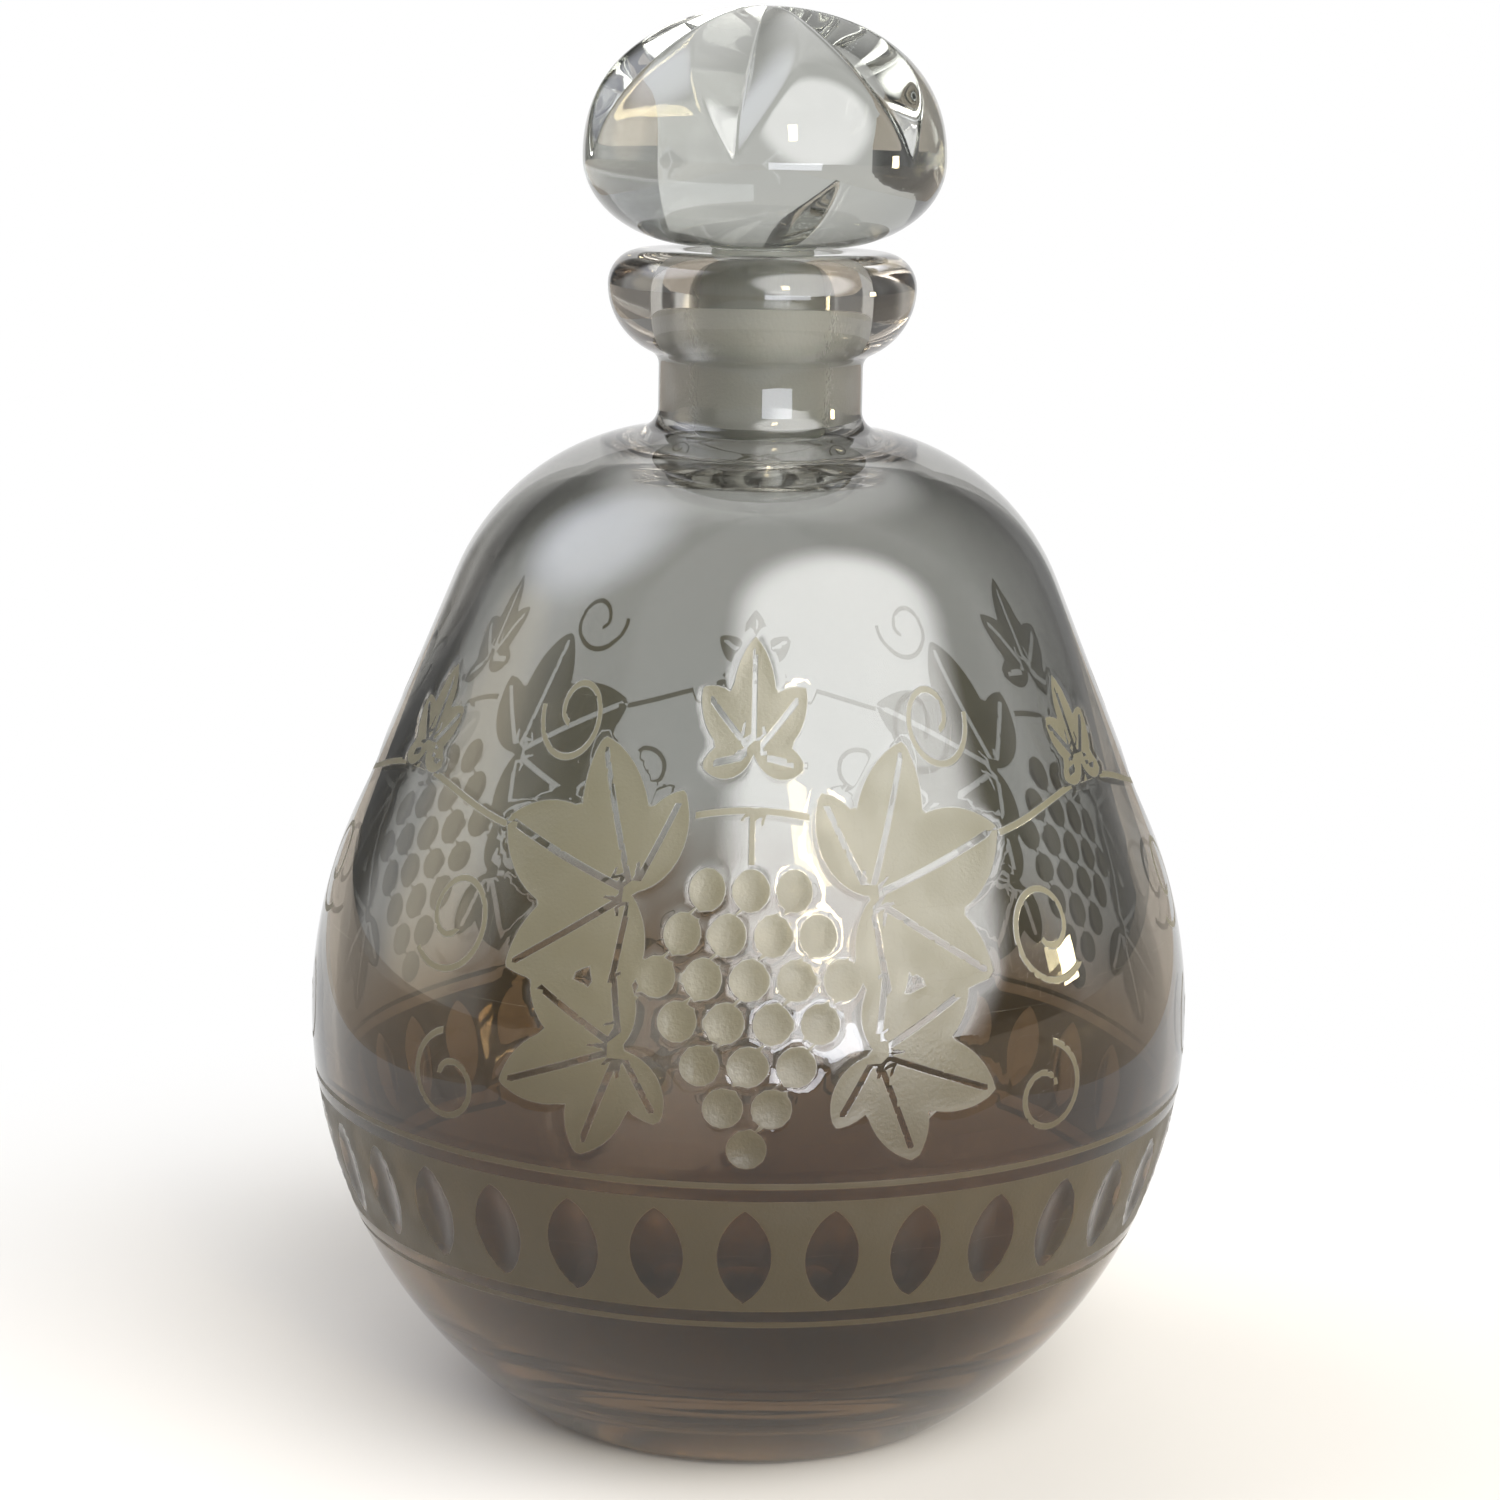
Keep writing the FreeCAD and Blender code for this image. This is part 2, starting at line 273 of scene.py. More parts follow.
bottle_runs = {
    "dish": arc(dish, (0, dish_depth), (dish_radius, 0), COARSE),
    "foot": straight((dish_radius, 0), foot_edge, COARSE),
    "heel": arc(heel, foot_edge, belly_start, ENGRAVED),
    "lower body": arc(belly, belly_start, close_start, MIDDLE),
    "body": arc(belly, close_start, belly_end, ENGRAVED),
    "upper body": straight(belly_end, shoulder_start, ENGRAVED),
    "shoulder": arc(shoulder, shoulder_start, shoulder_end, MIDDLE),
    "neck root": arc(root, shoulder_end, neck_foot, FINE),
    "neck": straight(neck_foot, neck_head, COARSE),
    "collar hollow": arc(hollow, neck_head, under_start, FINE),
    "collar underside": arc(under, under_start, rim, COLLAR),
    "collar top": arc(over, rim, lip_edge, COLLAR),
    "lip": straight(lip_edge, lip_start, COARSE),
    "mouth": lip_run,
    "bore, clear": straight(lip_end, seat_start, COARSE),
    "bore, ground": straight(seat_start, throat_start, COARSE),
    "throat": throat_run,
    "funnel": straight(throat_end, funnel_foot, COARSE),
    "bead": arc(bead, funnel_foot, bead_in, FINE),
    "bead hollow": arc(bead_hollow, bead_in, bead_out, FINE),
    "inner shoulder": arc(shoulder, bead_out, inner_top, COARSE),
    "inner wall": straight(inner_top, inner_foot, COARSE),
    "inner body": arc(belly, inner_foot, inner_heel, COARSE),
    "inner heel": arc(floor_turn, inner_heel, floor_edge, MIDDLE),
    "floor": straight(floor_edge, (0, base_thickness), COARSE),
    "floor middle": np.array([(0, base_thickness)]),
}
bottle_outline = np.concatenate(list(bottle_runs.values()))
run_of_row = np.repeat(list(bottle_runs), [len(run) for run in bottle_runs.values()])
print(f"outline of {len(bottle_outline)} points in {len(bottle_runs)} runs")

# %% [markdown]
# ## The engraving
# The body is engraved with small stone and copper wheels, which leave the glass matt and a little sunken.
# The design here is a traditional one: bunches of grapes between vine leaves, with tendrils, above a matt
# band with polished olive cuts. It repeats three times round the body, and each repeat is the same on its
# left and right. It could be painted as a texture, but then edges blur as the picture gets closer.
# Instead each shape is a formula that tells every point of the mesh how deep inside the shape it lies.
# The material cuts that smooth field at zero, so edges stay sharp between points, and the same field
# sinks the surface, so the engraving is real relief.

# %% Flat coordinates of the engraving
BOTTLE_COLUMNS = 360
REPEATS = 3
bottle_bearing = np.arange(BOTTLE_COLUMNS) * 2 * math.pi / BOTTLE_COLUMNS
repeat_width = 2 * math.pi * belly_radius / REPEATS
share = (bottle_bearing * REPEATS / (2 * math.pi) + 0.5) % 1 - 0.5
side, up = np.broadcast_arrays(np.abs(share * repeat_width)[None, :], bottle_outline[:, 1:])
# Values that stand for well outside every shape, and far from every line.
OUTSIDE, FAR = -9.0, 99.0
print(f"each repeat is {repeat_width:.1f} mm wide on the belly")

# %% Shapes that the wheels cut
# A leaf's lobes: turn from the middle lobe in radians, and length as a share of the leaf's.
LEAF_LOBES = ((0, 1.0), (0.85, 0.85), (-0.85, 0.85), (1.75, 0.6), (-1.75, 0.6))
# A lobe's width as a share of its length, and the turns that a tendril leaves out at its centre.
LOBE_WIDTH, SPIRAL_START = 0.52, 0.4


def seen_from(centre, angle):
    """Flat coordinates along and across a direction, from a centre: a shift, then a turn by the angle."""
    right, above = side - centre[0], up - centre[1]
    along = right * math.cos(angle) + above * math.sin(angle)
    across = above * math.cos(angle) - right * math.sin(angle)
    return along, across


def pointed(along, across, length, width):
    """Depth inside a pointed oval between two equal arcs: the arcs' radius less the distance to a centre."""
    half, bulge = length / 2, width / 2
    radius = (half ** 2 + bulge ** 2) / (2 * bulge)
    return radius - np.hypot(along - half, np.abs(across) + radius - bulge)


def vine_leaf(centre, angle, size):
    """Depth inside a leaf of pointed lobes about its stalk, and the distance to the deepest lobe's vein."""
    depth, vein = np.full(side.shape, OUTSIDE), np.full(side.shape, FAR)
    for turn, reach in LEAF_LOBES:
        along, across = seen_from(centre, angle + turn)
        lobe = pointed(along, across, size * reach, size * reach * LOBE_WIDTH)
        vein = np.where(lobe > depth, across, vein)
        depth = np.maximum(depth, lobe)
    return depth, vein


def tendril(centre, gap, turns, start):
    """Distance to a spiral whose radius grows by the gap in each turn, from SPIRAL_START to turns."""
    along, across = seen_from(centre, start)
    radius = np.hypot(along, across)
    part = np.arctan2(across, along) / (2 * math.pi) % 1
    whole = np.round(radius / gap - part)
    on_it = (whole + part > SPIRAL_START) & (whole + part < turns)
    return np.where(on_it, radius - gap * (whole + part), FAR)


print("a pointed oval of 10 by 4 mm is", pointed(np.array(5.0), 0.0, 10, 4), "mm deep in its middle")

# %% Grapes and leaves
GRAPE, GRAPE_PITCH, ROW_PITCH = 2.75, 6.5, 5.6
bunch_top, bunch_rows = 91.0, (3, 4, 5, 4, 3, 2, 1)
grapes = np.full(side.shape, OUTSIDE)
for row, count in enumerate(bunch_rows):
    for number in range(count):
        middle = (number - (count - 1) / 2) * GRAPE_PITCH
        grapes = np.maximum(grapes, GRAPE - np.hypot(side - middle, up - bunch_top + row * ROW_PITCH))

# Leaves: place of the base, direction in radians, and length. Veins end a little inside a leaf's edge.
VEIN_MARGIN = 0.7
leaf_places = (
    ((18.0, 90.0), 0.30, 25.0),
    ((17.5, 70.0), -0.35, 19.0),
    ((0.0, 108.0), 1.57, 15.0),
    ((repeat_width / 2, 103.0), 1.57, 12.0),
)
leaves, veins = np.full(side.shape, OUTSIDE), np.full(side.shape, FAR)
for centre, angle, size in leaf_places:
    leaf, vein = vine_leaf(centre, angle, size)
    veins = np.where(leaf > VEIN_MARGIN, vein, veins)
    leaves = np.maximum(leaves, leaf)
# The last two leaves stand on the lines where the design is mirrored, so they come once in each repeat.
print(sum(bunch_rows), "grapes and", 2 * len(leaf_places) - 2, "leaves in each repeat")

# %% Stems and rings
LINE, NEAR = 0.45, 1.5
VINE_HEIGHT, VINE_SWING = 98.5, 2.5
RING_HEIGHTS = (30.8, 52.2)
wave = 4 * math.pi / repeat_width
vine_slope = -VINE_SWING * wave * np.sin(wave * side)
vine = (up - VINE_HEIGHT - VINE_SWING * np.cos(wave * side)) / np.hypot(1, vine_slope)
stalk = np.where((up > bunch_top + GRAPE) & (up < VINE_HEIGHT + VINE_SWING), side, FAR)
# Tendrils: centre, growth in each turn, number of turns, and the direction in radians that turns count from.
tendrils = [
    tendril((47.0, 84.0), 4.6, 1.7, 1.2),
    tendril((33.0, 112.0), 4.4, 1.6, 2.6),
    tendril((44.0, 62.0), 4.4, 1.6, 4.0),
]
stems = [np.where(np.maximum(leaves, grapes) > 0, FAR, stem) for stem in (vine, stalk, *tendrils)]
rings = [up - height for height in RING_HEIGHTS]
strokes = np.stack([veins, *stems, *rings])
nearest = np.argmin(np.abs(strokes), axis=0)
lines = np.take_along_axis(strokes, nearest[None], axis=0)[0]
# Half-way between two lines the sign flips. Far values there keep the flip from drawing a line of its own.
lines = np.where(np.abs(lines) < NEAR, lines, FAR * np.sign(lines))
print(f"{len(strokes)} kinds of line, each {2 * LINE:.1f} mm wide")

# %% Band of olive cuts
BAND_LOW, BAND_HIGH = 33.0, 50.0
OLIVES, OLIVE_WIDTH, OLIVE_EDGE = 33, 7.6, 1.4
olive_pitch = 2 * math.pi * belly_radius / OLIVES
olive_length = BAND_HIGH - BAND_LOW - 2 * OLIVE_EDGE
beside_olive = (side + olive_pitch / 2) % olive_pitch - olive_pitch / 2
olives = pointed(up - BAND_LOW - OLIVE_EDGE, beside_olive, olive_length, OLIVE_WIDTH)
band = np.minimum(np.minimum(up - BAND_LOW, BAND_HIGH - up), -olives)
print(f"{OLIVES} olive cuts, {olive_pitch:.1f} mm apart")

# %% [markdown]
# ## The bottle's mesh
# The engraving sinks the outside: leaves and band by a fraction of a millimetre, each grape as a small
# bowl, each olive as a deeper polished hollow. Blown glass is never quite even inside, and what lies
# behind it wavers as the eye moves, so the inside gets a slow ripple of a few tenths of a millimetre. The
# bore that takes the plug is ground with wet grit and is matt all over, so it simply counts as deep
# inside a matt shape.

# %% Relief, ripple and mesh
def eased(values, low, high):
    """A smooth step from 0 at low to 1 at high: 3t² - 2t³ of the share t between them."""
    part = np.clip((values - low) / (high - low), 0, 1)
    return part ** 2 * (3 - 2 * part)


LEAF_DEPTH, BAND_DEPTH, GRAPE_DEPTH, OLIVE_DEPTH = 0.3, 0.15, 0.55, 0.8
# How far outside and inside their edges leaves and band slope down to their depth.
LEAF_SLOPE, BAND_SLOPE = (-0.6, 0.8), (-0.6, 0.6)
# Waves that wind up the inside: depth, number round the body, climb for each radian, and start in radians.
RIPPLES = ((0.16, 3, 13, 0), (0.12, 5, -9, 1))
is_engraved = np.isin(run_of_row, ["lower body", "body", "upper body", "shoulder"])[:, None]
is_ground = np.isin(run_of_row, ["bore, ground", "throat"])[:, None]
is_inside = np.isin(run_of_row, ["inner shoulder", "inner wall", "inner body", "inner heel"])[:, None]
bowls = np.sqrt(np.clip(1 - ((GRAPE - grapes) / GRAPE) ** 2, 0, 1))
hollows = 1 - (1 - np.clip(2 * olives / OLIVE_WIDTH, 0, 1)) ** 2
sunk = np.maximum(LEAF_DEPTH * eased(leaves, *LEAF_SLOPE), BAND_DEPTH * eased(band, *BAND_SLOPE))
sunk = np.maximum(np.maximum(sunk, GRAPE_DEPTH * bowls), OLIVE_DEPTH * hollows)
ripple = sum(depth * np.sin(number * bottle_bearing + up / climb + start)
             for depth, number, climb, start in RIPPLES)
radius = bottle_outline[:, :1] - np.where(is_engraved, sunk, 0) + np.where(is_inside, ripple, 0)
shapes = np.maximum(np.maximum(grapes, leaves), band)
matt_fields = {
    "matt": np.where(is_engraved, shapes, np.where(is_ground, 1.0, OUTSIDE)),
    "line": np.where(is_engraved, lines / LINE, FAR),
    "ground": np.where(is_ground, 1.0, 0.0) + 0 * side,
}
bottle = glass_piece("bottle_glass", spun(radius, up, bottle_bearing), matt_fields)
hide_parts("decanter_bottle")
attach(bottle, "bottle")
print(f"deepest cut {np.max(np.where(is_engraved, sunk, 0)):.2f} mm")

# %% [markdown]
# ## The stopper
# The stopper is solid glass: a ground plug, a stem that narrows upwards, and a flattened round head. A
# wheel cut six V-shaped grooves into the head, from its widest place up to its top. They part it into
# lobes, so from above it looks like a flower. A sculptor would push the grooves in by hand. Here the head
# is a plain dome first, and one formula moves each point inwards by as much as the wheel took away there,
# which keeps all six alike and crisp.

# %% Stopper outline
head_radius, bowl_reach, bowl_depth, seat_gap = 26.1, 16.7, 12.4, 0.6
stem_top_radius, plug_round = 7.2, 0.8
crown_fullness = 2.2
# Millimetres between rows of the plug, stem and plug's edge, and numbers of rows in the head.
PLUG_PITCH, STEM_PITCH, EDGE_PITCH = 1.0, 0.5, 0.3
BOWL_ROWS, CROWN_ROWS = 30, 70
plug_bottom, head_foot = stopper_low[2], lip_height + seat_gap
waistline = head_foot + bowl_depth
crown_height = stopper_high[2] - waistline
stem_foot, stem_top = (plug_radius, plug_top), (stem_top_radius, head_foot)
plug_corner = (joint_radius(plug_bottom), plug_bottom)
plug_run, plug_start, plug_end = rounding((0, plug_bottom), plug_corner, stem_foot, plug_round, EDGE_PITCH)
bowl_angle = np.radians(np.linspace(-90, 0, BOWL_ROWS, endpoint=False))
crown_angle = np.radians(np.linspace(0, 90, CROWN_ROWS))
stopper_runs = {
    "plug foot": straight((0, plug_bottom), plug_start, PLUG_PITCH),
    "plug edge": plug_run,
    "plug": straight(plug_end, stem_foot, PLUG_PITCH),
    "stem": straight(stem_foot, stem_top, STEM_PITCH),
    "head foot": straight(stem_top, (head_radius - bowl_reach, head_foot), STEM_PITCH),
    "bowl": np.column_stack([head_radius - bowl_reach + bowl_reach * np.cos(bowl_angle),
                             waistline + bowl_depth * np.sin(bowl_angle)]),
    "crown": np.column_stack([head_radius * np.cos(crown_angle) ** (2 / crown_fullness),
                              waistline + crown_height * np.sin(crown_angle) ** (2 / crown_fullness)]),
}
stopper_outline = np.concatenate(list(stopper_runs.values()))
stopper_run_of_row = np.repeat(list(stopper_runs), [len(run) for run in stopper_runs.values()])
print(f"stopper outline of {len(stopper_outline)} points, head {2 * head_radius:.0f} mm wide")

# %% Grooves and mesh
STOPPER_COLUMNS = 360
LOBES, groove_depth, groove_turn = 6, 4.2, math.radians(-9)
GROOVE_SLOPE, GROOVE_EDGE = 0.57, 0.12
stopper_bearing = groove_turn + np.arange(STOPPER_COLUMNS) * 2 * math.pi / STOPPER_COLUMNS
half_lobe = math.pi / LOBES
from_groove = (stopper_bearing - groove_turn + half_lobe) % (2 * half_lobe) - half_lobe


def v_groove(depth, sideways):
    """Cut of a V-shaped wheel: the depth on the groove's line, less the slope for each millimetre sideways.

    Below zero there is no cut. The step to zero is rounded: half of cut + root of (cut² + edge²).
    """
    cut = depth - GROOVE_SLOPE * np.abs(sideways)
    return (cut + np.hypot(cut, GROOVE_EDGE * depth)) / 2


depth = np.zeros((len(stopper_outline), 1))
depth[stopper_run_of_row == "crown", 0] = groove_depth * np.sin(2 * crown_angle)
cut = v_groove(depth, stopper_outline[:, :1] * np.sin(from_groove))
# The wheel cuts squarely into the dome, so points move against the dome's outward direction. Other rows have
# none, and the smallest length keeps them from being divided by zero.
SMALLEST = 1e-9
outward = np.zeros_like(stopper_outline)
outward[stopper_run_of_row == "crown"] = np.column_stack([
    np.cos(crown_angle) ** (2 - 2 / crown_fullness) / head_radius,
    np.sin(crown_angle) ** (2 - 2 / crown_fullness) / crown_height])
outward /= np.maximum(np.linalg.norm(outward, axis=1, keepdims=True), SMALLEST)
stopper_radius = stopper_outline[:, :1] - outward[:, :1] * cut
stopper_height = stopper_outline[:, 1:] - outward[:, 1:] * cut
is_plug = np.isin(stopper_run_of_row, ["plug foot", "plug edge", "plug", "stem"])[:, None]
plug_fields = {
    "matt": np.where(is_plug, 1.0, OUTSIDE) + 0 * cut,
    "line": np.full(cut.shape, FAR),
    "ground": np.where(is_plug, 1.0, 0.0) + 0 * cut,
}
stopper = glass_piece("stopper_glass", spun(stopper_radius, stopper_height, stopper_bearing), plug_fields)
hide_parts("stopper")
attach(stopper, "stopper")

# %% [markdown]
# ## Glass, clear and matt
# Soda-lime glass is almost clear and faintly grey-green, which shows where light passes through a lot of
# it. Where it was blown and fire-polished it is as smooth as a surface gets. Where a wheel or grit cut
# it, countless tiny pits scatter the light, and it turns matt and milky. One material holds both, and the
# fields stored on the mesh say where each shows. A separate matt object on top of the glass would be
# simpler to shade, but it would let light in and out where there is only one surface. Shade is painted
# into the colour as well: the bottle is darkened brown towards the foot, and both pieces darken into a
# rim at a slant.

# %% Nodes
def linear(hex_colour):
    """An sRGB hex colour as linear red, green, blue and alpha."""
    parts = [int(hex_colour[place:place + 2], 16) / 255 for place in (1, 3, 5)]
    return [part / 12.92 if part <= 0.04045 else ((part + 0.055) / 1.055) ** 2.4 for part in parts] + [1.0]


def add(tree, kind, settings, links=None):
    """Adds a node. Settings name its properties or input sockets, links join sockets to other nodes."""
    node = tree.nodes.new(kind)
    for key, value in settings.items():
        if isinstance(key, str) and hasattr(node, key):
            setattr(node, key, value)
        else:
            node.inputs[key].default_value = value
    for key, source in (links or {}).items():
        socket = source if isinstance(source, bpy.types.NodeSocket) else source.outputs[0]
        tree.links.new(socket, node.inputs[key])
    return node


def blend(tree, share, one, two):
    """A colour between two colours, each an sRGB hex colour or another blend."""
    settings, links = {"data_type": "RGBA"}, {0: share}
    for socket, colour in ((6, one), (7, two)):
        if isinstance(colour, str):
            settings[socket] = linear(colour)
        else:
            links[socket] = colour
    return add(tree, "ShaderNodeMix", settings, links).outputs[2]


def empty_tree(owner):
    """The node tree of a material or world, with nothing in it."""
    owner.use_nodes = True
    owner.node_tree.nodes.clear()
    return owner.node_tree


print("mid grey #808080 is", [round(part, 3) for part in linear("#808080")[:3]], "in linear light")

# %% Glass
# Grit pits are about 0.1 mm wide, drawn at 0.5 mm so that they show. The wheel's wandering is about 6 mm.
PIT_SIZE, PIT_DEPTH, WANDER_SIZE = 0.5 * MM, 0.1 * MM, 6 * MM
# Heights between which painted brown shade grows towards the foot, and between which the painted dark rim
# fades at the thick base.
CLEAR_DOWN_TO, BROWN_SHADE_BELOW = 82 * MM, 46 * MM
RIM_DOWN_TO, RIM_FAINT_BELOW = 36 * MM, 16 * MM
# Colours of matt glass: cut by a wheel high up, cut low down with painted brown shade, and ground with grit.
CUT_HIGH_TINT, CUT_LOW_PAINTED_SHADE, GROUND_TINT = "#757059", "#4c4229", "#c2c3bb"


def glass(name, clear, low, edge, absorption):
    """Clear glass with painted shade low down and at a slant, matt where the fields matt and line say so."""
    material = bpy.data.materials.new(name)
    tree = empty_tree(material)
    place = add(tree, "ShaderNodeTexCoord", {}).outputs["Object"]
    matt = add(tree, "ShaderNodeAttribute", {"attribute_name": "matt"}).outputs["Fac"]
    line = add(tree, "ShaderNodeAttribute", {"attribute_name": "line"}).outputs["Fac"]
    ground = add(tree, "ShaderNodeAttribute", {"attribute_name": "ground"}).outputs["Fac"]
    # A shape's edge is a tenth of a millimetre soft. Lines are clear inside shapes and matt outside them.
    area = add(tree, "ShaderNodeMapRange", {"From Min": -0.1, "From Max": 0.1}, {"Value": matt})
    off_line = add(tree, "ShaderNodeMath", {"operation": "ABSOLUTE"}, {0: line})
    stroke = add(tree, "ShaderNodeMapRange", {"From Min": 1.2, "From Max": 0.8}, {"Value": off_line})
    either = add(tree, "ShaderNodeMath", {"operation": "SUBTRACT"}, {0: area, 1: stroke})
    frost = add(tree, "ShaderNodeMath", {"operation": "ABSOLUTE"}, {0: either})
    # Pits make matt glass uneven, its roughness wanders, and part of the light doesn't get through it.
    pits = add(tree, "ShaderNodeTexNoise", {"Scale": 1 / PIT_SIZE, "Detail": 2.0}, {"Vector": place})
    wander = add(tree, "ShaderNodeTexNoise", {"Scale": 1 / WANDER_SIZE, "Detail": 3.0}, {"Vector": place})
    depth = add(tree, "ShaderNodeMath", {"operation": "MULTIPLY"}, {0: frost, 1: pits.outputs["Fac"]})
    bump = add(tree, "ShaderNodeBump", {"Strength": 0.5, "Distance": PIT_DEPTH}, {"Height": depth})
    matt_rough = add(tree, "ShaderNodeMapRange", {
        "From Min": 0.3, "From Max": 0.7, "To Min": 0.34, "To Max": 0.52}, {"Value": wander.outputs["Fac"]})
    rough = add(tree, "ShaderNodeMath", {"operation": "MULTIPLY"}, {0: frost, 1: matt_rough})
    haze = add(tree, "ShaderNodeMapRange", {"To Min": 0.35, "To Max": 0.4}, {"Value": ground})
    lost = add(tree, "ShaderNodeMath", {"operation": "MULTIPLY"}, {0: frost, 1: haze})
    milky = add(tree, "ShaderNodeMath", {"operation": "SUBTRACT", 0: 1.0}, {1: lost})
    # Painted shade: seen at a slant the colour darkens into a dark rim, standing in for the dark rim of
    # every glass, where light passes through more of the wall.
    slant = add(tree, "ShaderNodeLayerWeight", {"Blend": 0.5}).outputs["Facing"]
    height = add(tree, "ShaderNodeSeparateXYZ", {}, {0: place}).outputs["Z"]
    # Painted brown shade: a share that grows towards the foot, where it darkens and browns the colour.
    painted_low_shade = add(tree, "ShaderNodeMapRange", {
        "interpolation_type": "SMOOTHSTEP",
        "From Min": CLEAR_DOWN_TO, "From Max": BROWN_SHADE_BELOW}, {"Value": height})
    rim_share = add(tree, "ShaderNodeMapRange", {
        "From Min": RIM_DOWN_TO, "From Max": RIM_FAINT_BELOW,
        "To Min": 1.0, "To Max": 0.2}, {"Value": height})
    rim_slant = add(tree, "ShaderNodeMapRange", {"From Min": 0.3, "From Max": 0.9}, {"Value": slant})
    rim = add(tree, "ShaderNodeMath", {"operation": "MULTIPLY"}, {0: rim_slant, 1: rim_share})
    # Painted shade in the colour: brown towards the foot in polished and cut glass, a dark rim at a slant in
    # polished glass.
    smooth = blend(tree, rim, blend(tree, painted_low_shade, clear, low), edge)
    dull = blend(tree, ground, blend(tree, painted_low_shade, CUT_HIGH_TINT, CUT_LOW_PAINTED_SHADE), GROUND_TINT)
    colour = blend(tree, frost, smooth, dull)
    surface = add(tree, "ShaderNodeBsdfPrincipled", {"IOR": 1.52}, {
        "Base Color": colour, "Roughness": rough, "Transmission Weight": milky, "Normal": bump})
    body = add(tree, "ShaderNodeVolumeAbsorption", {"Color": linear(absorption), "Density": 12.0})
    add(tree, "ShaderNodeOutputMaterial", {}, {"Surface": surface, "Volume": body})
    return material


# Colours of the glass: clear, low down with painted brown shade (the stopper has none), at a slant with
# painted dark rim shade, and through its thickness.
bottle_tints = ("#c6c7c4", "#7c6243", "#403f38", "#a38c70")
stopper_tints = ("#c4c5c1", "#c4c5c1", "#52544c", "#cfd0cb")
bottle.data.materials.append(glass("soda-lime glass, blown, engraved and ground", *bottle_tints))
stopper.data.materials.append(glass("soda-lime glass, pressed, cut and ground", *stopper_tints))
print("materials:", [piece.data.materials[0].name for piece in (bottle, stopper)])

# %% [markdown]
# ## A soft white studio
# Clear glass has no look of its own: the eye sees it by what it bends and mirrors. Product photographers
# stand it on a strip of white paper that sweeps up behind it. What lies beside the paper is a little
# darker, and the glass bends that into its edges, so that they stand out from the white. The paper could
# be as wide as the room, but then the edges would melt into it. The strip is just wide enough for the
# picture, and lies on a pale board.

# %% Paper and board
PAPER_HALF, PAPER_FRONT, PAPER_BACK, PAPER_BEND, PAPER_TOP = 0.28, -0.9, 0.48, 0.16, 0.5
BOARD_HALF, BOARD_DROP = 3.0, 0.001
# Metres from the foot's middle between which lit paper turns into plain white.
LIT_WITHIN, WHITE_BEYOND = 0.075, 0.22
bend = np.radians(np.linspace(0, 90, 17))
along = np.concatenate([[PAPER_FRONT], PAPER_BACK + PAPER_BEND * np.sin(bend), [PAPER_BACK + PAPER_BEND]])
above = np.concatenate([[0], PAPER_BEND * (1 - np.cos(bend)), [PAPER_TOP]])
paper_points = np.column_stack([
    np.repeat([-PAPER_HALF, PAPER_HALF], len(along)), np.tile(along, 2), np.tile(above, 2)])
rows = np.arange(len(along) - 1)
paper_faces = np.column_stack([rows, rows + len(along), rows + len(along) + 1, rows + 1])
board_corners = ((-1, -1), (1, -1), (1, 1), (-1, 1))
board_points = [(x * BOARD_HALF, y * BOARD_HALF, -BOARD_DROP) for x, y in board_corners]


def stage_piece(name, points, faces, material):
    """A surface of the studio, which isn't part of the object."""
    mesh = bpy.data.meshes.new(name)
    mesh.from_pydata(points, [], faces)
    mesh.materials.append(material)
    piece = bpy.data.objects.new(name, mesh)
    bpy.context.collection.objects.link(piece)


# Near the object the paper is lit and takes its shadow. Further off it is plain white to eye and glass.
paper = bpy.data.materials.new("white paper, matt")
tree = empty_tree(paper)
place = add(tree, "ShaderNodeTexCoord", {}).outputs["Object"]
distance = add(tree, "ShaderNodeVectorMath", {"operation": "LENGTH"}, {0: place}).outputs["Value"]
far = add(tree, "ShaderNodeMapRange", {
    "interpolation_type": "SMOOTHSTEP",
    "From Min": LIT_WITHIN, "From Max": WHITE_BEYOND}, {"Value": distance})
rays = add(tree, "ShaderNodeLightPath", {}).outputs
direct = add(tree, "ShaderNodeMath", {"operation": "ADD"}, {
    0: rays["Is Camera Ray"], 1: rays["Is Glossy Ray"]})
seen = add(tree, "ShaderNodeMath", {"operation": "ADD", "use_clamp": True}, {
    0: direct, 1: rays["Is Transmission Ray"]})
white_share = add(tree, "ShaderNodeMath", {"operation": "MULTIPLY"}, {0: far, 1: seen})
sheet = add(tree, "ShaderNodeBsdfDiffuse", {"Color": linear("#bcb9b4")})
white = add(tree, "ShaderNodeEmission", {"Strength": 1.0})
mixed = add(tree, "ShaderNodeMixShader", {}, {0: white_share, 1: sheet, 2: white})
# The paper's rear is clear, so that the object can be seen from behind too.
rear = add(tree, "ShaderNodeNewGeometry", {}).outputs["Backfacing"]
clear = add(tree, "ShaderNodeBsdfTransparent", {})
one_sided = add(tree, "ShaderNodeMixShader", {}, {0: rear, 1: mixed, 2: clear})
add(tree, "ShaderNodeOutputMaterial", {}, {"Surface": one_sided})
stage_piece("paper_sweep", paper_points.tolist(), paper_faces.tolist(), paper)

board = bpy.data.materials.new("pale board, matt painted")
tree = empty_tree(board)
paint = add(tree, "ShaderNodeBsdfDiffuse", {"Color": linear("#a0988e")})
add(tree, "ShaderNodeOutputMaterial", {}, {"Surface": paint})
stage_piece("studio_board", board_points, [(0, 1, 2, 3)], board)
print(f"paper {2 * PAPER_HALF:.2f} m wide on a board of {2 * BOARD_HALF:.0f} m")

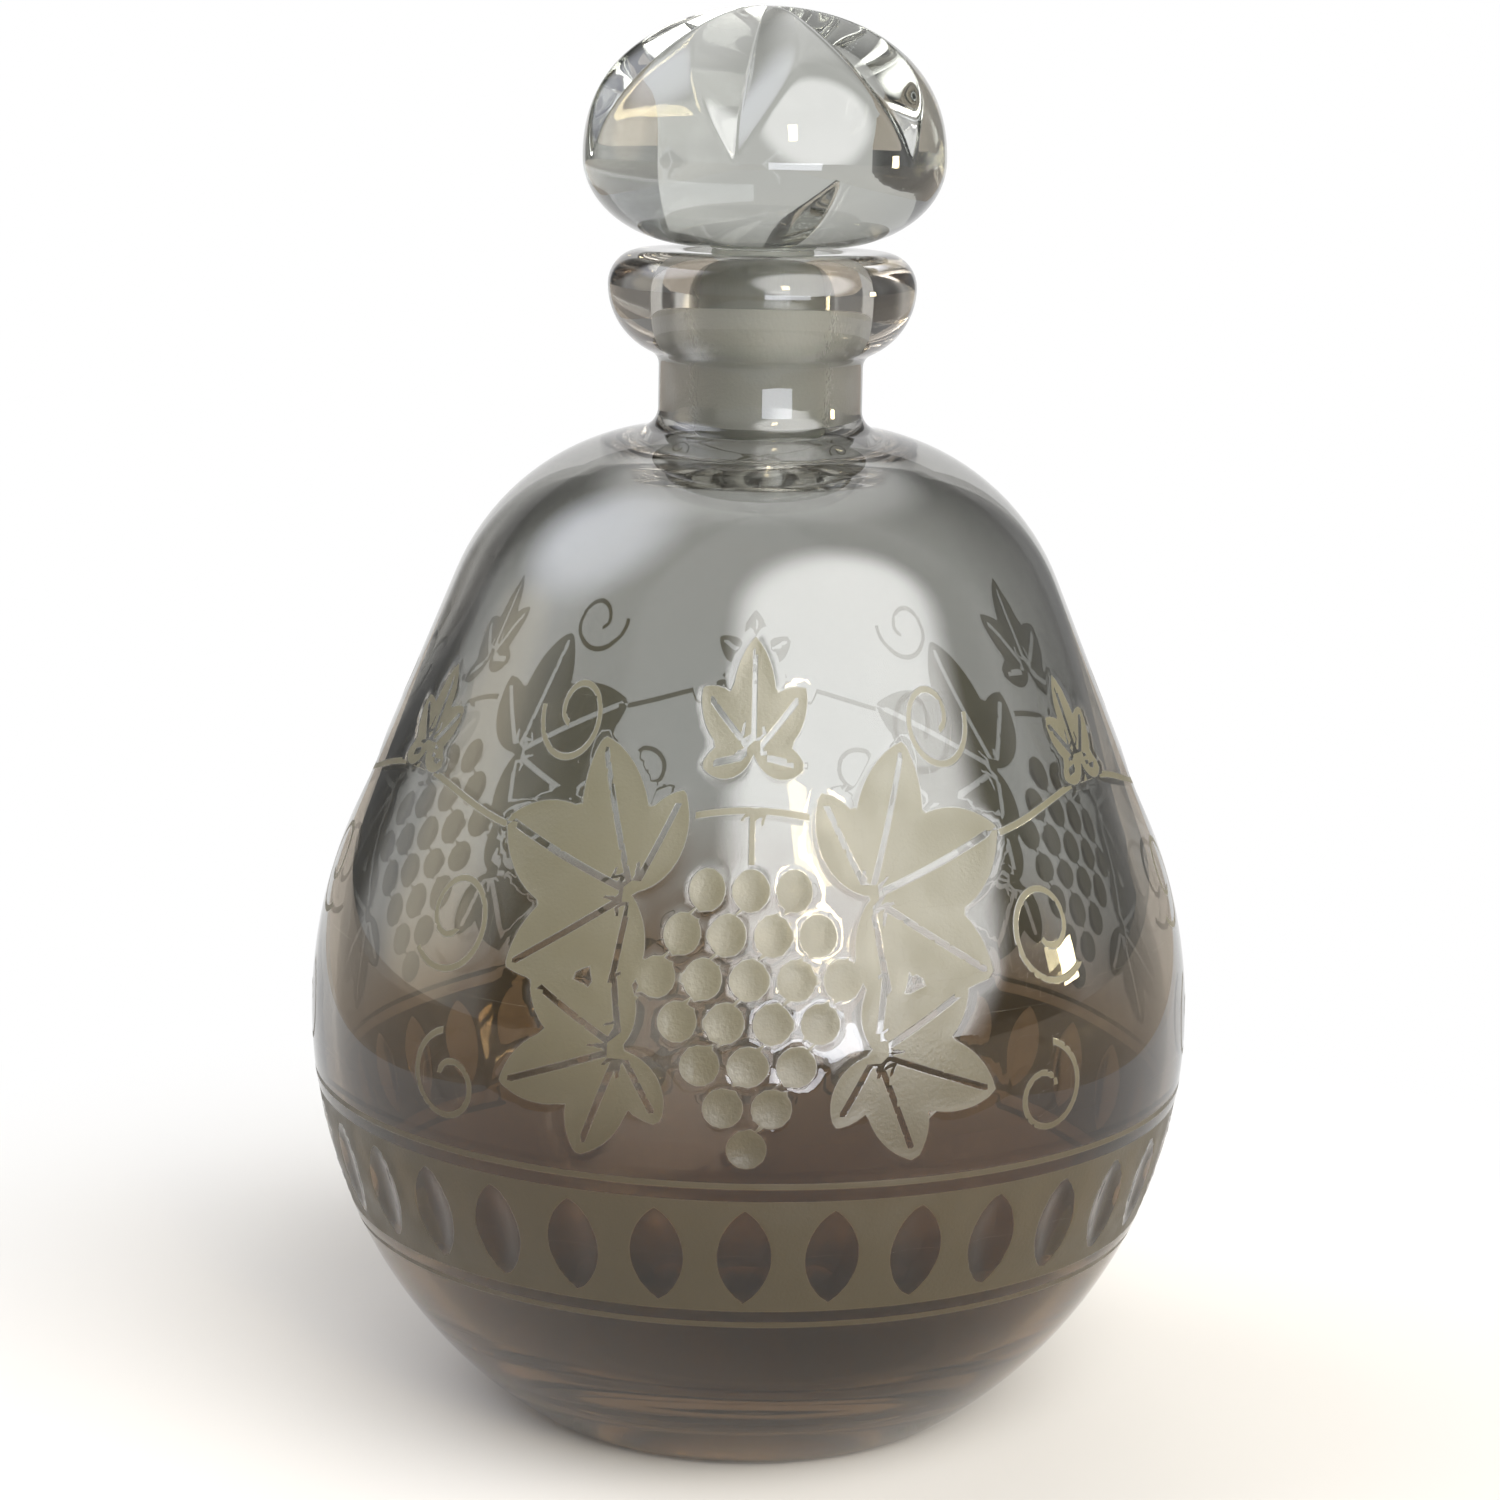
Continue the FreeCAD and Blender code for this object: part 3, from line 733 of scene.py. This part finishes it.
# %% [markdown]
# ## Reflectors and windows
# A studio's white walls light the glass from all round, and dark gaps between them draw dark lines in
# thick glass. Brighter patches are windows: the large one, front right, is the broad pale band down the
# body, and the skylights lighten the shoulder and one wall of each groove. All of them are far away, so
# they are painted on the world by direction. Lamp objects would do too, but would cast harder shadows.


# %% World
def direction(bearing, rise):
    """Unit vector towards a bearing, in degrees clockwise from behind the object, and a rise above level."""
    turn, lift = math.radians(bearing), math.radians(rise)
    return Vector((math.sin(turn) * math.cos(lift), math.cos(turn) * math.cos(lift), math.sin(lift)))


def patch(tree, way, middle, inner, outer, around, within):
    """A soft round patch: one value within the inner angle from its middle, another beyond the outer one."""
    dot = add(tree, "ShaderNodeVectorMath", {"operation": "DOT_PRODUCT", 1: middle}, {0: way})
    return add(tree, "ShaderNodeMapRange", {
        "interpolation_type": "SMOOTHSTEP", "From Min": math.cos(math.radians(outer)),
        "From Max": math.cos(math.radians(inner)), "To Min": around, "To Max": within},
        {"Value": dot.outputs["Value"]})


# Gaps: bearing, inner and outer angle, and the share of light that is left.
GAPS = {
    "behind, left": (-38, 8, 20, 0.15),
    "behind, right": (48, 20, 38, 0.35),
    "right": (105, 8, 25, 0.2),
    "front, left": (-120, 5, 15, 0.2),
}
# Windows: bearing, rise, inner and outer angle, strength and colour.
WINDOWS = {
    "large window, front right": (145, 30, 29, 41, 7.2, "#ffffff"),
    "skylight, behind": (0, 63, 18, 34, 1.6, "#ffffff"),
    "skylight, left": (-81, 48, 5, 30, 4.0, "#eef2ff"),
    "warm wall, left": (-83, 10, 5, 20, 1.2, "#ffeec8"),
}
scene = bpy.context.scene
scene.world = bpy.data.worlds.new("white walls, dark gaps and windows")
tree = empty_tree(scene.world)
way = add(tree, "ShaderNodeTexCoord", {}).outputs["Generated"]
level = add(tree, "ShaderNodeVectorMath", {"operation": "MULTIPLY", 1: (1, 1, 0)}, {0: way})
compass = add(tree, "ShaderNodeVectorMath", {"operation": "NORMALIZE"}, {0: level})
# The walls are white low down and darken upwards, by the sine of the rise.
height = add(tree, "ShaderNodeSeparateXYZ", {}, {0: way}).outputs["Z"]
walls = add(tree, "ShaderNodeMapRange", {
    "From Min": 0.2, "From Max": 0.55, "To Min": 1.0, "To Max": 0.4}, {"Value": height})
for bearing, inner, outer, left_over in GAPS.values():
    gap = patch(tree, compass, direction(bearing, 0), inner, outer, 1.0, left_over)
    walls = add(tree, "ShaderNodeMath", {"operation": "MULTIPLY"}, {0: walls, 1: gap})
shade = add(tree, "ShaderNodeBackground", {"Color": (1, 1, 1, 1)}, {"Strength": walls})
for bearing, rise, inner, outer, strength, colour in WINDOWS.values():
    glow = patch(tree, way, direction(bearing, rise), inner, outer, 0.0, strength)
    window = add(tree, "ShaderNodeBackground", {"Color": linear(colour)}, {"Strength": glow})
    shade = add(tree, "ShaderNodeAddShader", {}, {0: shade, 1: window})
add(tree, "ShaderNodeOutputWorld", {}, {"Surface": shade})
print(f"{len(GAPS)} gaps and {len(WINDOWS)} windows on the world")

# %% Lamps
OBJECT_MIDDLE = Vector((0, 0, 0.1))


def softbox(name, place, size, power, colour):
    """A rectangular lamp that faces the object's middle: width and height in metres, power in watts."""
    data = bpy.data.lights.new(name, "AREA")
    data.shape = "RECTANGLE"
    data.size, data.size_y = size
    data.energy = power
    data.color = linear(colour)[:3]
    lamp = bpy.data.objects.new(name, data)
    facing = (OBJECT_MIDDLE - Vector(place)).to_track_quat("-Z", "Y")
    lamp.matrix_world = Matrix.Translation(place) @ facing.to_matrix().to_4x4()
    lamp.visible_camera = False
    bpy.context.collection.objects.link(lamp)


softbox("low window, front right", (0.26, -0.76, 0.10), (0.48, 0.12), 1.5, "#eef3ff")
softbox("warm lamp, front right", (0.23, -0.74, 0.45), (0.08, 0.18), 1.2, "#ffe9b8")
softbox("small warm lamp, right", (0.80, -0.02, 0.16), (0.08, 0.10), 1.0, "#ffefc4")
print("three lamps for the bright spots on neck, body and head")

# %% [markdown]
# ## The camera
# The photograph was taken from about the stopper's height, looking down at the body. The distance was
# worked out from how much the ellipses of the collar and foot open, and the camera leans by about a
# degree, as the photograph does.

# %% Camera
EYE, AIM = Vector((-0.0005, -0.520, 0.200)), Vector((-0.0005, 0, 0.0987))
LEAN = math.radians(1.1)
LIGHT_BOUNCES = 24
camera_data = bpy.data.cameras.new("camera")
camera_data.sensor_width, camera_data.lens, camera_data.clip_start = 36.0, 86.0, 0.01
camera = bpy.data.objects.new("camera", camera_data)
facing = (AIM - EYE).to_track_quat("-Z", "Y").to_matrix().to_4x4()
camera.matrix_world = Matrix.Translation(EYE) @ facing @ Matrix.Rotation(LEAN, 4, "Z")
bpy.context.collection.objects.link(camera)
scene.camera = camera
scene.view_settings.view_transform = "Standard"
# Light that enters the stopper's lobes is thrown to and fro between their walls before it leaves again.
scene.cycles.max_bounces = LIGHT_BOUNCES
scene.cycles.transmission_bounces = LIGHT_BOUNCES
scene.cycles.glossy_bounces = LIGHT_BOUNCES
print(f"camera {(AIM - EYE).length:.2f} m from its aim")
